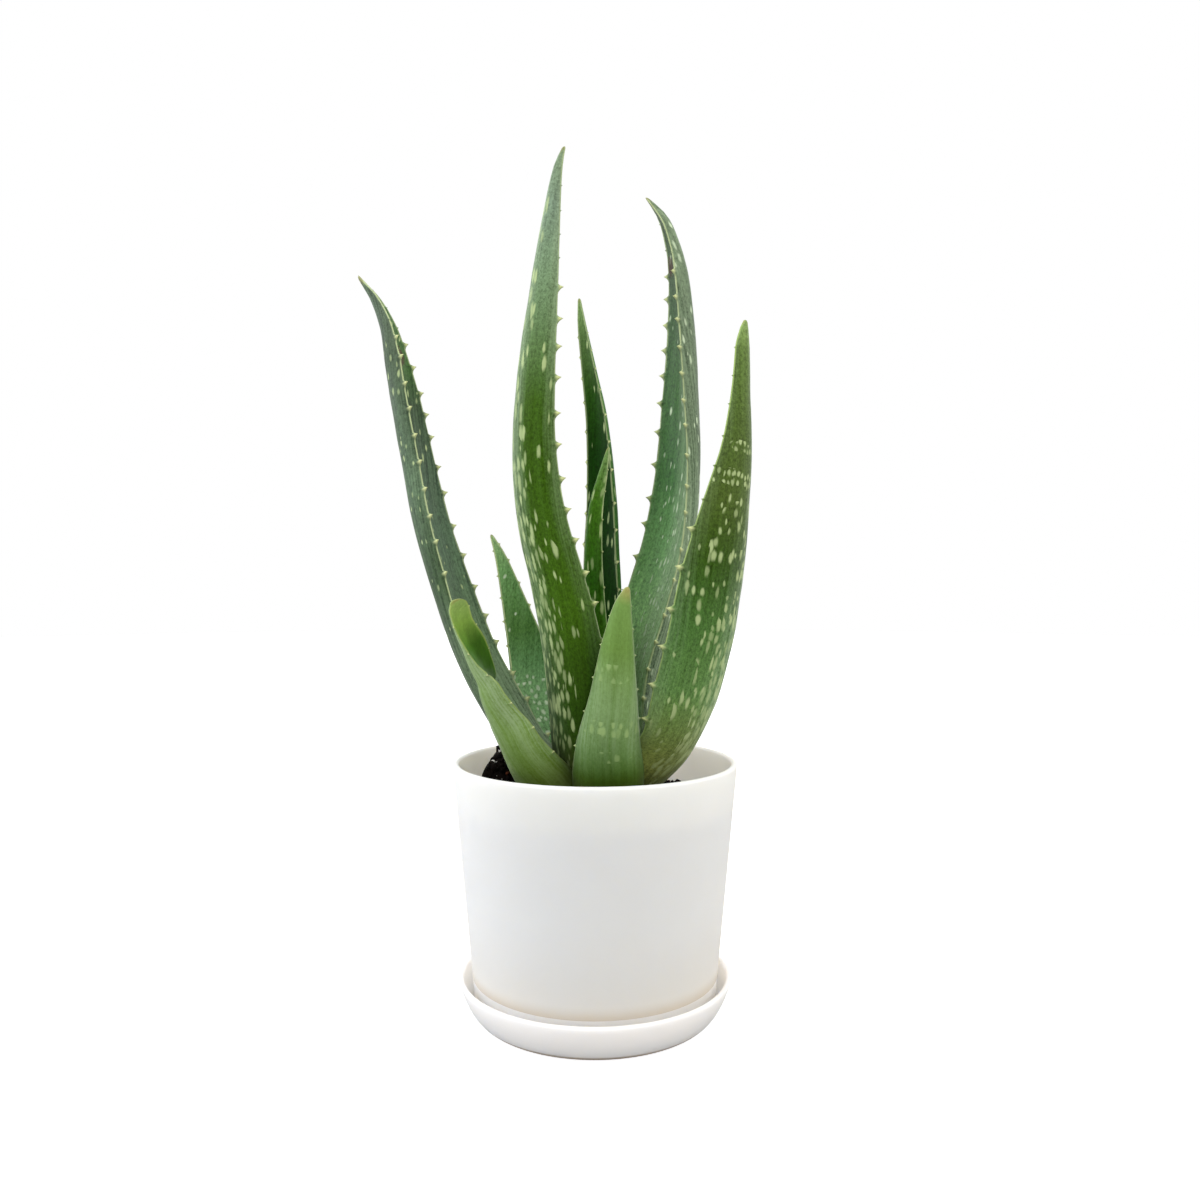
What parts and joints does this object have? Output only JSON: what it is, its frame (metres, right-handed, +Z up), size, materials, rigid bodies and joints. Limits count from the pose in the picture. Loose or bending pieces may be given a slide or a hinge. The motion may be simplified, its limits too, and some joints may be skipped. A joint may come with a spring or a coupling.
{
  "type": "potted aloe plant",
  "caption": "Young aloe with toothed, pale-flecked leaves growing from dark potting mix in a plain white tapered pot that stands on a matching saucer.",
  "frame": {"origin": "centre of the saucer's flat underside, on the pot's axis", "axes": "+Z up along the pot's axis; -Y is the side that faces the viewer of the picture, +X is to that viewer's right"},
  "size_m": [0.186, 0.1318, 0.393],
  "materials": {
    "saucer": "matte",
    "pot": "matte",
    "soil": "matte",
    "crown": "matte",
    "leaf_mid": "satin",
    "leaf_dark": "satin",
    "leaf_blue": "satin",
    "leaf_light": "satin"
  },
  "bodies": {
    "root": {"saucer": "saucer", "pot": "pot", "soil": "soil", "crown": "crown", "leaf_heart_short": "leaf_mid", "leaf_back_tall": "leaf_dark", "leaf_centre_tall": "leaf_mid", "leaf_right_tall": "leaf_blue", "leaf_back_short": "leaf_mid", "leaf_left_tall": "leaf_blue", "leaf_right_broad": "leaf_dark", "leaf_left_short": "leaf_light", "leaf_front_short": "leaf_light"}
  },
  "joints": []
}
